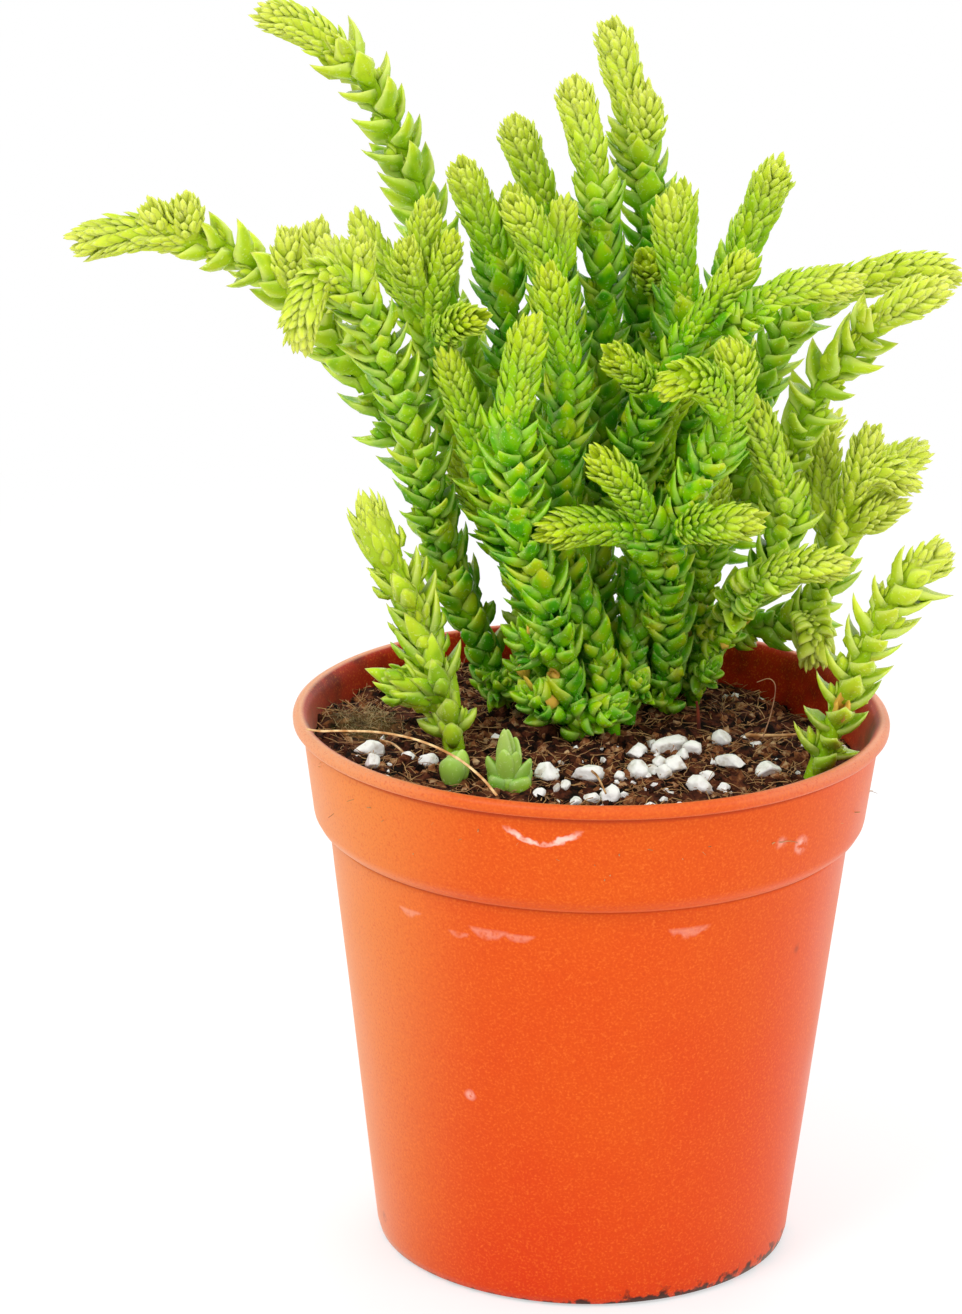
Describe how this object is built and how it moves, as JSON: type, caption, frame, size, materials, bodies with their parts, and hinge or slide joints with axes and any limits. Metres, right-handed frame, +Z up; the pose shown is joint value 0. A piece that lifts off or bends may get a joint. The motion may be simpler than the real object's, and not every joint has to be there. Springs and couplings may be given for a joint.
{
  "type": "potted watch chain crassula",
  "caption": "Small succulent with chain-like four-ranked stems growing from peat and perlite in an orange plastic nursery pot that stands on its flat base.",
  "frame": {"origin": "centre of the pot's flat underside, on the surface it stands on", "axes": "+Z up, +X to the right as the plant is seen from its front, +Y to the back"},
  "size_m": [0.0875, 0.0648, 0.1249],
  "materials": {
    "orange_plastic": "moulded, satin, slightly scuffed",
    "peat_soil": "dark fibrous peat crumb",
    "leaf_green": "fleshy, smooth, slightly glossy leaf",
    "offset_leaf": "plump glossy darker leaf",
    "perlite": "chalky white foamed grain",
    "dry_straw": "dry stalk",
    "reddish_twig": "dry stalk"
  },
  "bodies": {
    "root": {"arching_right_stem": "leaf_green", "back_centre_stem": "leaf_green", "back_left_stem": "leaf_green", "centre_stem": "leaf_green", "drooping_left_stem": "leaf_green", "far_left_stem": "leaf_green", "far_right_stem": "leaf_green", "fat_leaved_offset": "offset_leaf", "front_centre_stem": "leaf_green", "front_right_stem": "leaf_green", "left_front_stem": "leaf_green", "left_inner_stem": "leaf_green", "little_bud": "offset_leaf", "long_straw": "dry_straw", "low_left_stem": "leaf_green", "low_right_stem": "leaf_green", "perlite_grain_1": "perlite", "perlite_grain_10": "perlite", "perlite_grain_11": "perlite", "perlite_grain_12": "perlite", "perlite_grain_13": "perlite", "perlite_grain_14": "perlite", "perlite_grain_2": "perlite", "perlite_grain_3": "perlite", "perlite_grain_4": "perlite", "perlite_grain_5": "perlite", "perlite_grain_6": "perlite", "perlite_grain_7": "perlite", "perlite_grain_8": "perlite", "perlite_grain_9": "perlite", "pot": "orange_plastic", "rear_centre_left_stem": "leaf_green", "rear_centre_stem": "leaf_green", "rear_left_stem": "leaf_green", "rear_right_stem": "leaf_green", "reddish_twig": "reddish_twig", "right_centre_stem": "leaf_green", "right_edge_stem": "leaf_green", "right_front_stem": "leaf_green", "second_tall_stem": "leaf_green", "short_straw": "dry_straw", "soil": "peat_soil", "tall_stem": "leaf_green", "thick_centre_stem": "leaf_green", "top_left_stem": "leaf_green"}
  },
  "joints": []
}
